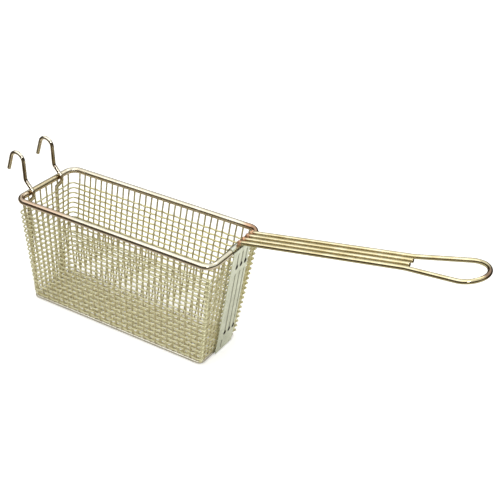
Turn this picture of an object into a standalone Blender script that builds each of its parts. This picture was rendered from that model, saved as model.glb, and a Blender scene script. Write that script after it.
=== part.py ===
"""Deep fryer basket: bent rods, a formed wire mesh body and a pressed front plate.

Lengths are in metres. The basket is modelled about the centre of its rim, with +X towards
the handle and +Z up, and is then stood on z = 0 with the origin under its middle.
"""
import math

import bpy
import bmesh
from mathutils import Vector

# Round wire: a thick rim, then thinner gauges for the handle, the hooks and the bottom frame
RIM_RADIUS = 0.0045
ROD_RADIUS = 0.003175
HOOK_ROD_RADIUS = 0.00278
FRAME_RADIUS = 0.00238
SEAT = 0.0003                  # gap left where two pieces are welded together

# Rim and bottom frame, measured along the centre lines of their wires
RIM_LENGTH = 0.335
RIM_WIDTH = 0.1215
RIM_CORNER = 0.015
BASKET_DEPTH = 0.177
BOTTOM_WIDTH = 0.0855
FRONT_LEAN = 0.0285            # how far the front wall comes in towards the bottom
REAR_LEAN = 0.004              # how far the rear wall goes out towards the bottom
FRAME_CORNER = 0.007

# Mesh body: bars of the coarse lattice, with the crimp that lets real wires cross
MESH_BAR = 0.0024
MESH_CRIMP = 0.0006
MESH_CORNER_LOW = 0.008
MESH_FOLD = 0.006
LONG_OPENINGS = 15
END_OPENINGS = 4
DEPTH_OPENINGS = 8
CORNER_OPENINGS = 2

# Front plate: sheet hooked over the rim, with grooves pressed back to the mesh
PLATE_SHEET = 0.0012
PLATE_WIDTH = 0.042
PLATE_CENTRE_Y = 0.0086
PLATE_HOOK_ANGLE = math.radians(205)
PLATE_TAIL_GAP = 0.0015
PLATE_TAIL_ANGLE = math.radians(-24)
GROOVE_CENTRE_Y = 0.0145
GROOVE_PITCH = 0.0108
GROOVE_WIDTH = 0.0036
GROOVE_FLOOR = 0.0012
GROOVE_RUNOUT = 0.003
GROOVE_SPANS = ((0.006, 0.0335), (0.0415, 0.1535))

# Handle: two middle rods inside one long rod that is bent to an eye
HANDLE_CENTRE_Y = 0.0204
HANDLE_RISE = math.radians(10.4)
ROD_PITCH = 0.01025
ROD_START = 0.0045              # square ends stand on the front quarter of the rim
MIDDLE_ROD_END = 0.2437
EYE_START = 0.240
EYE_END = 0.3397
EYE_WIDTH = 0.0535
EYE_BEND = 0.045

# Hooks: each rod runs up outside the rear wall, inside the rim and over into a hook
HOOK_NEAR_Y = -0.034
HOOK_FAR_Y = 0.0268
HOOK_CROSSING_Z = -0.0137
HOOK_CROSSING_ANGLE = math.radians(42)
HOOK_SETBACK_ANGLE = math.radians(40)
HOOK_SHANK_X = 0.0058          # centre of the shank behind the centre of the rim wire
HOOK_SHANK_BEND = 0.008
HOOK_RADIUS = 0.0116
HOOK_CENTRE_Z = 0.0479
HOOK_TIP_FLARE = math.radians(20)
HOOK_TIP_LENGTH = 0.0242

# Straight steps that stand in for each bend
RIM_STEPS = 6
FRAME_STEPS = 4
FOLD_STEPS = 9
TAIL_STEPS = 4
EYE_STEPS = 16
EYE_BEND_STEPS = 3
HOOK_STEPS = 10
LEG_STEPS = 4

RIM_REAR = -RIM_LENGTH / 2
RIM_FRONT = RIM_LENGTH / 2
MESH_HALF = MESH_BAR / 2 + MESH_CRIMP
WALL_SLOPE = math.atan2(FRONT_LEAN, BASKET_DEPTH)


def clear_scene():
    for item in list(bpy.data.objects):
        bpy.data.objects.remove(item, do_unlink=True)


def make_material(name, colour, roughness, metallic=1.0):
    material = bpy.data.materials.new(name)
    material.use_nodes = True
    shader = material.node_tree.nodes["Principled BSDF"]
    shader.inputs["Base Color"].default_value = (*colour, 1.0)
    shader.inputs["Roughness"].default_value = roughness
    shader.inputs["Metallic"].default_value = metallic
    return material


def add_piece(name, data, material, collection, parent):
    piece = bpy.data.objects.new(name, data)
    piece.data.materials.append(material)
    piece.parent = parent
    collection.objects.link(piece)
    return piece


def rounded_corner(before, corner, after, radius, steps):
    """Points of the arc that rounds one corner of a bent wire."""
    to_before = (before - corner).normalized()
    to_after = (after - corner).normalized()
    half_angle = to_before.angle(to_after) / 2
    reach = radius / math.tan(half_angle)
    middle = (to_before + to_after).normalized()
    centre = corner + middle * (radius / math.sin(half_angle))
    start = corner + to_before * reach - centre
    turn = math.pi - 2 * half_angle
    axis = start.cross(corner + to_after * reach - centre).normalized()
    side = axis.cross(start)
    points = []
    for step in range(steps + 1):
        angle = turn * step / steps
        points.append(centre + start * math.cos(angle) + side * math.sin(angle))
    return points


def bent_wire(corners, radii, steps):
    """Path of a wire through its corners, each rounded to its own bend radius."""
    path = [corners[0]]
    for index, radius in enumerate(radii, start=1):
        path += rounded_corner(corners[index - 1], corners[index], corners[index + 1], radius, steps)
    path.append(corners[-1])
    return path


def rounded_rectangle(x_low, x_high, half_width, z, radius, steps):
    """Closed wire loop: a rectangle with four rounded corners at height z."""
    corners = [Vector((x_low, -half_width, z)), Vector((x_high, -half_width, z)),
               Vector((x_high, half_width, z)), Vector((x_low, half_width, z))]
    path = []
    for index, corner in enumerate(corners):
        path += rounded_corner(corners[index - 1], corner, corners[(index + 1) % 4], radius, steps)
    return path


def wire_curve(name, path, radius, closed=False, roll=0.0):
    curve = bpy.data.curves.new(name, "CURVE")
    curve.dimensions = "3D"
    curve.bevel_depth = radius
    curve.bevel_resolution = 2
    curve.use_fill_caps = not closed
    spline = curve.splines.new("POLY")
    spline.points.add(len(path) - 1)
    spline.use_cyclic_u = closed
    for point, place in zip(spline.points, path):
        point.co = (*place, 1.0)
        point.tilt = roll
    return curve


def rear_wall_x(z):
    return RIM_REAR + REAR_LEAN * z / BASKET_DEPTH


def front_wall_x(z):
    return RIM_FRONT + FRONT_LEAN * z / BASKET_DEPTH


def side_wall_y(z):
    return (RIM_WIDTH + (RIM_WIDTH - BOTTOM_WIDTH) * z / BASKET_DEPTH) / 2


def rim_path():
    return rounded_rectangle(RIM_REAR, RIM_FRONT, RIM_WIDTH / 2, 0.0, RIM_CORNER, RIM_STEPS)


def frame_path():
    low = -BASKET_DEPTH
    return rounded_rectangle(rear_wall_x(low), front_wall_x(low), side_wall_y(low), low,
                             FRAME_CORNER, FRAME_STEPS)


def mesh_outline(z, inset, radius):
    """One closed row of mesh joints: four walls in equal steps, joined by rounded corners."""
    x_low, x_high = rear_wall_x(z) + inset, front_wall_x(z) - inset
    y_high = side_wall_y(z) - inset
    quarter = math.pi / 2
    walls = ((x_low, -y_high, 1, 0, x_high - x_low, LONG_OPENINGS),
             (x_high, -y_high, 0, 1, 2 * y_high, END_OPENINGS),
             (x_high, y_high, -1, 0, x_high - x_low, LONG_OPENINGS),
             (x_low, y_high, 0, -1, 2 * y_high, END_OPENINGS))
    row = []
    for x, y, along_x, along_y, length, openings in walls:
        for step in range(openings + 1):
            reach = radius + (length - 2 * radius) * step / openings
            row.append(Vector((x + along_x * reach, y + along_y * reach, z)))
        turn_x = x + along_x * (length - radius) - along_y * radius
        turn_y = y + along_y * (length - radius) + along_x * radius
        for step in range(1, CORNER_OPENINGS):
            angle = quarter * step / CORNER_OPENINGS
            out_x = along_y * math.cos(angle) + along_x * math.sin(angle)
            out_y = -along_x * math.cos(angle) + along_y * math.sin(angle)
            row.append(Vector((turn_x + out_x * radius, turn_y + out_y * radius, z)))
    return row


def mesh_rows():
    """Rows of joints from under the rim, down the walls and in under the fold."""
    top = -(RIM_RADIUS + SEAT + MESH_BAR / 2)
    low = -BASKET_DEPTH + MESH_FOLD
    rows = []
    for step in range(DEPTH_OPENINGS + 1):
        share = step / DEPTH_OPENINGS
        radius = RIM_CORNER + (MESH_CORNER_LOW - RIM_CORNER) * share
        rows.append(mesh_outline(top + (low - top) * share, 0.0, radius))
    rows.append(mesh_outline(-BASKET_DEPTH, MESH_FOLD, 0.0))
    return rows


def grid_into(shape, columns, rows, place):
    """Adds a grid to the mesh and sets each joint by its column and row."""
    made = bmesh.ops.create_grid(shape, x_segments=columns, y_segments=rows, size=1.0)
    for joint in made["verts"]:
        column = round((joint.co.x + 1) / 2 * columns)
        row = round((joint.co.y + 1) / 2 * rows)
        joint.co = place(column, row)
    return made["verts"]


def mesh_body_surface():
    rows = mesh_rows()
    last = len(rows) - 1
    around = len(rows[0])
    shape = bmesh.new()
    grid_into(shape, around, last, lambda column, row: rows[last - row][column % around])
    low = -BASKET_DEPTH
    x_low, x_high = rear_wall_x(low) + MESH_FOLD, front_wall_x(low) - MESH_FOLD
    y_high = side_wall_y(low) - MESH_FOLD

    def floor_joint(column, row):
        x = x_low + (x_high - x_low) * column / LONG_OPENINGS
        y = y_high - 2 * y_high * row / END_OPENINGS
        return Vector((x, y, low))

    grid_into(shape, LONG_OPENINGS, END_OPENINGS, floor_joint)
    bmesh.ops.remove_doubles(shape, verts=shape.verts, dist=MESH_BAR / 10)
    bmesh.ops.recalc_face_normals(shape, faces=shape.faces)
    crimp_joints(shape, rows[1][0].z + MESH_BAR, rows[last - 1][0].z - MESH_BAR)
    return shape


def crimp_joints(shape, wall_top, wall_low):
    """Pushes neighbouring joints in and out by turns, as the wires of a weave cross."""
    shape.normal_update()
    joints = [joint for joint in shape.verts if is_crimped(joint, wall_top, wall_low)]
    level = {joints[0]: 1}
    queue = [joints[0]]
    for start in joints:
        if start not in level:
            level[start] = 1
            queue.append(start)
        while queue:
            joint = queue.pop()
            for edge in joint.link_edges:
                other = edge.other_vert(joint)
                if other not in level and is_crimped(other, wall_top, wall_low):
                    level[other] = -level[joint]
                    queue.append(other)
    moves = {joint: joint.normal * MESH_CRIMP * side for joint, side in level.items()}
    for joint, move in moves.items():
        joint.co += move


def is_crimped(joint, wall_top, wall_low):
    on_wall = wall_low < joint.co.z < wall_top and joint.co.z > wall_low + 2 * MESH_BAR
    on_floor = joint.co.z < -BASKET_DEPTH + MESH_BAR / 2
    away_from_fold = all(abs(edge.other_vert(joint).co.z - joint.co.z) < MESH_BAR for edge in joint.link_edges)
    return on_wall or (on_floor and away_from_fold)


def build_mesh_body(material, collection, parent):
    shape = mesh_body_surface()
    data = bpy.data.meshes.new("mesh_body")
    shape.to_mesh(data)
    shape.free()
    piece = add_piece("mesh_body", data, material, collection, parent)
    bars = piece.modifiers.new("bars", "WIREFRAME")
    bars.thickness = MESH_BAR
    bars.offset = 0.0
    bars.use_even_offset = True
    bars.use_relative_offset = False
    bars.use_replace = True
    bars.use_boundary = True
    return piece


def plate_path():
    """Side view of the plate's middle surface: over the rim, down the wall, round the frame."""
    rim_bend = RIM_RADIUS + SEAT + PLATE_SHEET / 2
    frame_bend = FRAME_RADIUS + PLATE_TAIL_GAP + PLATE_SHEET / 2
    rim_centre = Vector((RIM_FRONT, 0.0))
    frame_centre = Vector((front_wall_x(-BASKET_DEPTH), -BASKET_DEPTH))
    wall_length = (frame_centre - rim_centre).length
    leave = -WALL_SLOPE - math.asin((rim_bend - frame_bend) / wall_length)
    return rim_centre, rim_bend, frame_centre, frame_bend, leave


def plate_stations():
    """Points down the plate as (x, z, distance below the rim, outward normal angle)."""
    rim_centre, rim_bend, frame_centre, frame_bend, leave = plate_path()
    stations = []
    for step in range(FOLD_STEPS + 1):
        angle = PLATE_HOOK_ANGLE + (leave - PLATE_HOOK_ANGLE) * step / FOLD_STEPS
        place = rim_centre + rim_bend * Vector((math.cos(angle), math.sin(angle)))
        stations.append((place.x, place.y, 0.0, angle))
    normal = Vector((math.cos(leave), math.sin(leave)))
    top = rim_centre + rim_bend * normal
    bottom = frame_centre + frame_bend * normal
    length = (bottom - top).length
    marks = []
    for start, end in GROOVE_SPANS:
        marks += [start, start + GROOVE_RUNOUT, end - GROOVE_RUNOUT / 2, end]
    for mark in marks:
        place = top + (bottom - top) * (mark / length)
        stations.append((place.x, place.y, mark, leave))
    for step in range(TAIL_STEPS + 1):
        angle = leave + (PLATE_TAIL_ANGLE - leave) * step / TAIL_STEPS
        place = frame_centre + frame_bend * Vector((math.cos(angle), math.sin(angle)))
        stations.append((place.x, place.y, length, angle))
    return stations


def groove_depth(down):
    """Full depth that brings the pressed groove back to the mesh, zero outside the spans."""
    rim_centre, rim_bend, frame_centre, frame_bend, leave = plate_path()
    wall_length = (frame_centre - rim_centre).length
    stand_off = rim_bend + (frame_bend - rim_bend) * down / wall_length - PLATE_SHEET / 2
    for start, end in GROOVE_SPANS:
        if start < down < end:
            return stand_off - MESH_HALF - SEAT
    return 0.0


def plate_columns():
    """Points across the plate as (y, share of the groove depth)."""
    columns = [(PLATE_CENTRE_Y - PLATE_WIDTH / 2, 0.0)]
    for groove in (-1, 0, 1):
        y = GROOVE_CENTRE_Y + groove * GROOVE_PITCH
        columns += [(y - GROOVE_WIDTH / 2, 0.0), (y - GROOVE_FLOOR / 2, 1.0),
                    (y + GROOVE_FLOOR / 2, 1.0), (y + GROOVE_WIDTH / 2, 0.0)]
    columns.append((PLATE_CENTRE_Y + PLATE_WIDTH / 2, 0.0))
    return columns


def build_front_plate(material, collection, parent):
    stations = plate_stations()
    columns = plate_columns()

    def place(column, row):
        x, z, down, angle = stations[row]
        y, share = columns[column]
        sink = groove_depth(down) * share
        return Vector((x - math.cos(angle) * sink, y, z - math.sin(angle) * sink))

    shape = bmesh.new()
    grid_into(shape, len(columns) - 1, len(stations) - 1, place)
    data = bpy.data.meshes.new("front_plate")
    shape.to_mesh(data)
    shape.free()
    piece = add_piece("front_plate", data, material, collection, parent)
    sheet = piece.modifiers.new("sheet", "SOLIDIFY")
    sheet.thickness = PLATE_SHEET
    sheet.offset = 0.0
    sheet.use_even_offset = True
    return piece


def handle_point(along, across):
    """Place on the handle's sloping plane, which sets the rod ends on the plate's fold."""
    fold_radius = RIM_RADIUS + PLATE_SHEET + 2 * SEAT
    lift = ROD_RADIUS + math.sqrt(fold_radius ** 2 - ROD_START ** 2)
    x = RIM_FRONT + along * math.cos(HANDLE_RISE) - lift * math.sin(HANDLE_RISE)
    z = along * math.sin(HANDLE_RISE) + lift * math.cos(HANDLE_RISE)
    return Vector((x, HANDLE_CENTRE_Y + across, z))


def eye_path():
    """Long rod: out along one side, round the eye and back along the other side."""
    side = 1.5 * ROD_PITCH
    radius = EYE_WIDTH / 2
    centre = EYE_END - EYE_START - radius
    flare = math.asin(radius / math.hypot(side, centre)) - math.atan2(side, centre)
    sweep = math.pi / 2 + flare
    arc = []
    for step in range(EYE_STEPS + 1):
        angle = sweep - 2 * sweep * step / EYE_STEPS
        along = EYE_START + centre + radius * math.cos(angle)
        arc.append(handle_point(along, radius * math.sin(angle)))
    first, last = handle_point(ROD_START, side), handle_point(ROD_START, -side)
    out = rounded_corner(first, handle_point(EYE_START, side), arc[0], EYE_BEND, EYE_BEND_STEPS)
    back = rounded_corner(arc[-1], handle_point(EYE_START, -side), last, EYE_BEND, EYE_BEND_STEPS)
    return [first] + out + arc + back + [last]


def middle_rod_path(across):
    return [handle_point(ROD_START, across), handle_point(MIDDLE_ROD_END, across)]


def hook_path(y):
    """Rod from the bottom frame, up the rear wall, round the rim's inside and into the hook."""
    beside = RIM_RADIUS + HOOK_ROD_RADIUS + SEAT
    leg_gap = MESH_HALF + SEAT + HOOK_ROD_RADIUS
    inside_x = RIM_REAR + beside
    crossing = Vector((rear_wall_x(HOOK_CROSSING_Z), y, HOOK_CROSSING_Z))
    slant = 1 / math.tan(HOOK_CROSSING_ANGLE)
    foot_z = -BASKET_DEPTH + FRAME_RADIUS + SEAT
    foot = Vector((rear_wall_x(foot_z) - leg_gap, y, foot_z))
    under_x = rear_wall_x(HOOK_CROSSING_Z) - leg_gap
    under = Vector((under_x, y, crossing.z - (crossing.x - under_x) * slant))
    inner_low = Vector((inside_x, y, crossing.z + (inside_x - crossing.x) * slant))
    inner_top = Vector((inside_x, y, beside * math.tan(HOOK_SETBACK_ANGLE / 2)))
    shank_x = RIM_REAR - HOOK_SHANK_X
    shank = Vector((shank_x, y, inner_top.z + (inside_x - shank_x) / math.tan(HOOK_SETBACK_ANGLE)))
    centre_x = shank_x - HOOK_RADIUS
    sweep = math.pi - HOOK_TIP_FLARE
    hook = []
    for step in range(HOOK_STEPS + 1):
        angle = sweep * step / HOOK_STEPS
        hook.append(Vector((centre_x + HOOK_RADIUS * math.cos(angle), y,
                            HOOK_CENTRE_Z + HOOK_RADIUS * math.sin(angle))))
    tip = hook[-1] - HOOK_TIP_LENGTH * Vector((math.sin(HOOK_TIP_FLARE), 0.0, math.cos(HOOK_TIP_FLARE)))
    leg = bent_wire([foot, under, inner_low, inner_top, shank, hook[0]],
                    [beside, beside, beside, HOOK_SHANK_BEND], LEG_STEPS)
    return leg[:-1] + hook + [tip]


def stand_on_floor(holder, pieces):
    """Moves the holder so that the lowest point is at z = 0 under the middle of the whole."""
    bpy.context.view_layer.update()
    depsgraph = bpy.context.evaluated_depsgraph_get()
    low = Vector((math.inf, math.inf, math.inf))
    high = -low
    for piece in pieces:
        evaluated = piece.evaluated_get(depsgraph)
        mesh = evaluated.to_mesh()
        for vertex in mesh.vertices:
            place = evaluated.matrix_world @ vertex.co
            low = Vector(map(min, low, place))
            high = Vector(map(max, high, place))
        evaluated.to_mesh_clear()
    holder.location = (-(low.x + high.x) / 2, -(low.y + high.y) / 2, -low.z)


def main():
    clear_scene()
    collection = bpy.data.collections.new("deep_fryer_basket")
    bpy.context.scene.collection.children.link(collection)
    holder = bpy.data.objects.new("basket_origin", None)
    collection.objects.link(holder)

    rod_finish = make_material("rod_plating", (0.62, 0.57, 0.42), 0.22)
    handle_finish = make_material("handle_plating", (0.66, 0.58, 0.33), 0.24)
    hook_finish = make_material("hook_plating", (0.58, 0.54, 0.46), 0.16)
    mesh_finish = make_material("mesh_plating", (0.70, 0.68, 0.52), 0.30)
    plate_finish = make_material("plate_plating", (0.66, 0.70, 0.62), 0.34)

    flat_under = math.pi / 8
    pieces = [
        add_piece("rim_wire", wire_curve("rim_wire", rim_path(), RIM_RADIUS, True),
                  rod_finish, collection, holder),
        add_piece("bottom_frame_wire", wire_curve("bottom_frame_wire", frame_path(), FRAME_RADIUS, True, flat_under),
                  rod_finish, collection, holder),
        add_piece("handle_eye_rod", wire_curve("handle_eye_rod", eye_path(), ROD_RADIUS),
                  handle_finish, collection, holder),
        build_mesh_body(mesh_finish, collection, holder),
        build_front_plate(plate_finish, collection, holder),
    ]
    for name, across in (("handle_middle_rod_near", -ROD_PITCH / 2), ("handle_middle_rod_far", ROD_PITCH / 2)):
        pieces.append(add_piece(name, wire_curve(name, middle_rod_path(across), ROD_RADIUS),
                                handle_finish, collection, holder))
    for name, y in (("hook_rod_near", HOOK_NEAR_Y), ("hook_rod_far", HOOK_FAR_Y)):
        pieces.append(add_piece(name, wire_curve(name, hook_path(y), HOOK_ROD_RADIUS),
                                hook_finish, collection, holder))
    stand_on_floor(holder, pieces)


main()
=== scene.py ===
"""Looks of the deep fryer basket: true woven wire, round rods, pressed plate, plating and stage.

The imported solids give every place. Each piece or group of like pieces has its own operator. The
sizes that the solids don't hold and the colours of the finishes are properties of the scene,
shown in the sidebar's panel. Lengths are in metres.
"""

import math
from collections import namedtuple
from functools import reduce

import bmesh
import bpy
from bpy.props import FloatProperty, FloatVectorProperty, IntProperty, PointerProperty
from mathutils import Matrix, Vector, noise


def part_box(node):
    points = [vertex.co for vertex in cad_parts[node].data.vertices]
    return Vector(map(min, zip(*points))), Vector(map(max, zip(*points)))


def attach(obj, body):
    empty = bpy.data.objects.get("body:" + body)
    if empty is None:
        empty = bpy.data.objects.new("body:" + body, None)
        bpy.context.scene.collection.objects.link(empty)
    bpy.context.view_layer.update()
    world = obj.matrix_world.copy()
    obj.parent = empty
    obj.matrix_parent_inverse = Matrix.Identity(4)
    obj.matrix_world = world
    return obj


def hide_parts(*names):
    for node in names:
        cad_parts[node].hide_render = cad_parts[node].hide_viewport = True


bl_info = {
    "name": "Fryer basket looks",
    "version": (1, 0, 0),
    "blender": (4, 5, 0),
    "location": "3D View > Sidebar > Basket",
    "description": "Builds the woven wire, rods, plate and finishes of a deep fryer basket",
    "category": "Object",
}

BODY = "root"

# Takes a place in the far long wall to the same place in the near one
MIRROR = Matrix.Diagonal((1.0, -1.0, 1.0))

# Steps along each arc and along the run that closes a level wire, and rows and columns of the sheet
RIM_CORNER_STEPS = 14
FRAME_CORNER_STEPS = 10
HOOK_BEND_STEPS = 9
HOOK_ARC_STEPS = 22
EYE_BEND_STEPS = 8
EYE_ARC_STEPS = 36
CLOTH_FOLD_STEPS = 5
CLOTH_CORNER_STEPS = 6
CLOSING_STEPS = 8
PLATE_FOLD_STEPS = 22
PLATE_WALL_STEPS = 170
PLATE_TAIL_STEPS = 8
PLATE_COLUMNS = 76

# Roundness of each wire's section, as the curve's bevel resolution
RIM_SMOOTHNESS = 8
FRAME_SMOOTHNESS = 7
ROD_SMOOTHNESS = 6
LACING_SMOOTHNESS = 3
CLOTH_SMOOTHNESS = 2

# A rod's ends are ground over this share of its radius, down to this share of its thickness
GROUND_LENGTH = 0.18
GROUND_END = 0.86

# All lights shine at this place inside the basket, and the floor lies this far below the basket
LIGHT_TARGET = Vector((0.0, 0.0, 0.1))
FLOOR_DROP = 0.0004

# Width of the camera's frame in millimetres
CAMERA_FRAME = 36.0

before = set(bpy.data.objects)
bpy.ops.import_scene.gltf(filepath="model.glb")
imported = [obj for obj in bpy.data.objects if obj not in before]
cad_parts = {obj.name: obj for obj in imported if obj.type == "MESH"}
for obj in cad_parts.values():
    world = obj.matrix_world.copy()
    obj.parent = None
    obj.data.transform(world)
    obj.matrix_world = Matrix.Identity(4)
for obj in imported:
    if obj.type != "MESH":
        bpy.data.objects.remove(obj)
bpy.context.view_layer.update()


def has_three_parts(item):
    """Whether an operand is a place or a colour, and not one number."""
    if isinstance(item, Value):
        return item.socket.type in {"VECTOR", "RGBA"}
    return isinstance(item, tuple)


class Value:
    """A shader socket that is added, subtracted and multiplied with Python's own operators."""

    def __init__(self, tree, socket):
        self.tree = tree
        self.socket = socket

    def node(self, kind, inputs=None, output=0, **settings):
        """Adds any node, sets its settings, feeds its inputs and gives one of its outputs."""
        made = self.tree.nodes.new(kind)
        for name, setting in settings.items():
            setattr(made, name, setting)
        for name, given in (inputs or {}).items():
            self.feed(made.inputs[name], given)
        return Value(self.tree, made.outputs[output])

    def feed(self, target, given):
        """Links a value to a socket, or writes a number, place or colour there."""
        if isinstance(given, Value):
            self.tree.links.new(given.socket, target)
        elif target.type == "RGBA":
            target.default_value = (*given, 1.0)
        else:
            target.default_value = given

    def math(self, operation, *operands):
        """Adds a Math node, or a Vector Math node where an operand has three parts."""
        kind = "ShaderNodeMath"
        if any(has_three_parts(item) for item in operands):
            kind = "ShaderNodeVectorMath"
            operands = [(item,) * 3 if isinstance(item, (int, float)) else item for item in operands]
        return self.node(kind, dict(enumerate(operands)), operation=operation)

    def __add__(self, other):
        return self.math("ADD", self, other)

    def __radd__(self, other):
        return self.math("ADD", other, self)

    def __sub__(self, other):
        return self.math("SUBTRACT", self, other)

    def __rsub__(self, other):
        return self.math("SUBTRACT", other, self)

    def __mul__(self, other):
        return self.math("MULTIPLY", self, other)

    def __rmul__(self, other):
        return self.math("MULTIPLY", other, self)

    def size(self):
        return self.math("ABSOLUTE", self)

    def highest(self, other):
        return self.math("MAXIMUM", self, other)

    def distance(self, place):
        return self.node("ShaderNodeVectorMath", {0: self, 1: tuple(place)}, "Value", operation="DISTANCE")

    def axis(self, name):
        return self.node("ShaderNodeSeparateXYZ", {"Vector": self}, name)

    def ramp(self, low, high):
        """0 below low, 1 above high and a smooth step between."""
        inputs = {"Value": self, "From Min": low, "From Max": high}
        return self.node("ShaderNodeMapRange", inputs, interpolation_type="SMOOTHSTEP")

    def mix(self, low, high):
        """The colour low where this value is 0 and high where it is 1."""
        return self.node("ShaderNodeMix", {0: self, 6: low, 7: high}, 2, data_type="RGBA")

    def noise(self, scale, detail=3.0, roughness=0.5):
        inputs = {"Vector": self, "Scale": scale, "Detail": detail, "Roughness": roughness}
        return self.node("ShaderNodeTexNoise", inputs)


def new_material(name):
    """A material with its Principled shader, and the place on the piece as a shader value."""
    material = bpy.data.materials.new(name)
    material.use_nodes = True
    tree = material.node_tree
    shader = tree.nodes["Principled BSDF"]
    start = Value(tree, shader.outputs[0])
    place = start.node("ShaderNodeTexCoord", output="Object")
    return material, shader, place


def feed_metal(place, shader, colour, roughness, height, depth, strength, metallic=1.0):
    """Feeds a metal's colour, roughness and fine relief, depth metres deep, to its shader."""
    bump = place.node("ShaderNodeBump", {"Height": height, "Distance": depth, "Strength": strength})
    place.feed(shader.inputs["Base Color"], colour)
    place.feed(shader.inputs["Roughness"], roughness)
    place.feed(shader.inputs["Normal"], bump)
    shader.inputs["Metallic"].default_value = metallic


def ragged_spot(place, spot, reach, scale, raggedness, inner, outer):
    """1 near a spot and 0 away from it. It fades from inner to outer times its reach, along an edge
    that noise of the given scale shifts by up to raggedness times its reach."""
    edge = place.noise(scale) * (reach * raggedness)
    return 1.0 - (place.distance(spot) + edge).ramp(reach * inner, reach * outer)


def plated_metal(kind, looks, heat_spots=(), tints=(), metallic=1.0):
    """Bright plating over drawn wire: cloudy tint, specks, wide tints, painted shade where it faces
    down and heat stains at welds. Some of the wide tints are painted reflection and shade.

    Kind is how the names of its properties in looks begin. A heat spot is (place, reach) and a tint
    is (place, reach, colour)."""
    material, shader, place = new_material(kind + "_finish")
    bright, dull, underside_shade = (getattr(looks, f"{kind}_{part}") for part in ("bright", "dull", "underside_shade"))
    roughness = getattr(looks, kind + "_roughness")
    clouds = place.noise(scale=55.0, detail=4.0).ramp(0.32, 0.72)
    specks = place.noise(scale=900.0, detail=2.0).ramp(0.60, 0.80)
    colour = specks.mix(clouds.mix(dull, bright), [channel * 0.62 for channel in dull])
    for spot, reach, tint in tints:
        near = ragged_spot(place, spot, reach, scale=45.0, raggedness=0.5, inner=0.7, outer=1.4)
        colour = (near * 0.75).mix(colour, tint)
    # Painted shade: the sides that face down are darkened towards the underside colour, as if they mirrored
    # dark surroundings
    facing = place.node("ShaderNodeTexCoord", output="Normal").axis("Z")
    colour = ((1.0 - facing.ramp(-0.35, 0.65)) * 0.8).mix(colour, underside_shade)
    if heat_spots:
        stains = [ragged_spot(place, spot, reach, scale=160.0, raggedness=0.6, inner=0.55, outer=1.35)
                  for spot, reach in heat_spots]
        stain = reduce(Value.highest, stains)
        colour = stain.ramp(0.0, 0.55).mix(colour, looks.straw)
        colour = stain.ramp(0.5, 1.0).mix(colour, looks.scorch)
    rough = roughness + (place.noise(scale=240.0) - 0.5) * (roughness * 0.9)
    height = place.noise(scale=700.0) * 0.6 + clouds * 0.4
    feed_metal(place, shader, colour, rough.highest(0.05), height, depth=0.0001, strength=0.22,
               metallic=metallic)
    return material


def groove_shade(place, centre, lean, top, half, spans):
    """1 along the side of a line of grooves where shade is painted, half wide to each side, and 0 away
    from it. The line leans sideways below the height top, and a span of it is (highest, lowest)."""
    height = place.axis("Z")
    off = (place.axis("Y") - (centre + half * 0.4 + (top - height) * lean)).size()
    soft = 0.001
    lines = []
    for high, low in spans:
        below = 1.0 - height.ramp(high - soft, high + soft)
        lines.append(height.ramp(low - soft, low + soft) * below)
    return (1.0 - off.ramp(half * 0.25, half)) * reduce(Value.highest, lines)


def pressed_steel(looks, marks, mark_radius, grooves):
    """Satin sheet with lengthwise rolling marks, painted shade along its grooves and spot weld burns."""
    material, shader, place = new_material("plate_finish")
    rolled = (place * (900.0, 900.0, 25.0)).noise(scale=1.0, roughness=0.6)
    clouds = place.noise(scale=70.0, detail=4.0).ramp(0.3, 0.75)
    groove_shading = reduce(Value.highest, [groove_shade(place, *groove) for groove in grooves])
    burns = [ragged_spot(place, mark, mark_radius, scale=500.0, raggedness=0.5, inner=0.8, outer=1.7)
             for mark in marks]
    burn = reduce(Value.highest, burns)
    colour = clouds.mix(looks.plate_dull, looks.plate_bright)
    colour = (rolled.ramp(0.35, 0.8) * 0.35).mix(colour, looks.plate_rolled)
    # Painted shade: a dark line down one side of each groove
    colour = (groove_shading * 0.65).mix(colour, looks.plate_groove_shade)
    colour = burn.mix(colour, looks.plate_burn)
    rough = looks.plate_roughness + (rolled - 0.5) * 0.16 + burn * 0.35 + groove_shading * 0.2
    feed_metal(place, shader, colour, rough, rolled, depth=0.0001, strength=0.3)
    return material


def brazing_metal(looks):
    """Lumpy copper coloured brazing, browned by the torch."""
    material, shader, place = new_material("brazing_finish")
    patches = place.noise(scale=420.0, detail=4.0).ramp(0.35, 0.65)
    colour = patches.mix(looks.brazing_dull, looks.brazing_bright)
    lumps = place.noise(scale=1500.0, detail=4.0)
    feed_metal(place, shader, colour, 0.28 + patches * 0.2, lumps, depth=0.0003, strength=0.6)
    return material


def rounded_corner(before, corner, after, radius, steps):
    """Points of the arc that rounds one corner of a bent wire."""
    to_before = (before - corner).normalized()
    to_after = (after - corner).normalized()
    half_angle = to_before.angle(to_after) / 2
    reach = radius / math.tan(half_angle)
    middle = (to_before + to_after).normalized()
    centre = corner + middle * (radius / math.sin(half_angle))
    start = corner + to_before * reach - centre
    turn = math.pi - 2 * half_angle
    axis = start.cross(corner + to_after * reach - centre).normalized()
    side = axis.cross(start)
    angles = [turn * step / steps for step in range(steps + 1)]
    return [centre + start * math.cos(angle) + side * math.sin(angle) for angle in angles]


def bent_wire(corners, radii, steps):
    """Path of a wire through its corners, each rounded to its own bend radius."""
    path = [corners[0]]
    for index, radius in enumerate(radii, start=1):
        path += rounded_corner(corners[index - 1], corners[index], corners[index + 1], radius, steps)
    return path + [corners[-1]]


def rounded_rectangle(x_low, x_high, half_width, z, rear_radius, front_radius, steps):
    """Level closed path with its own corner radius at each end."""
    corners = [Vector((x_low, -half_width, z)), Vector((x_high, -half_width, z)),
               Vector((x_high, half_width, z)), Vector((x_low, half_width, z))]
    radii = (rear_radius, front_radius, front_radius, rear_radius)
    path = []
    for index, (corner, radius) in enumerate(zip(corners, radii)):
        path += rounded_corner(corners[index - 1], corner, corners[(index + 1) % 4], radius, steps)
    return path


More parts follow.
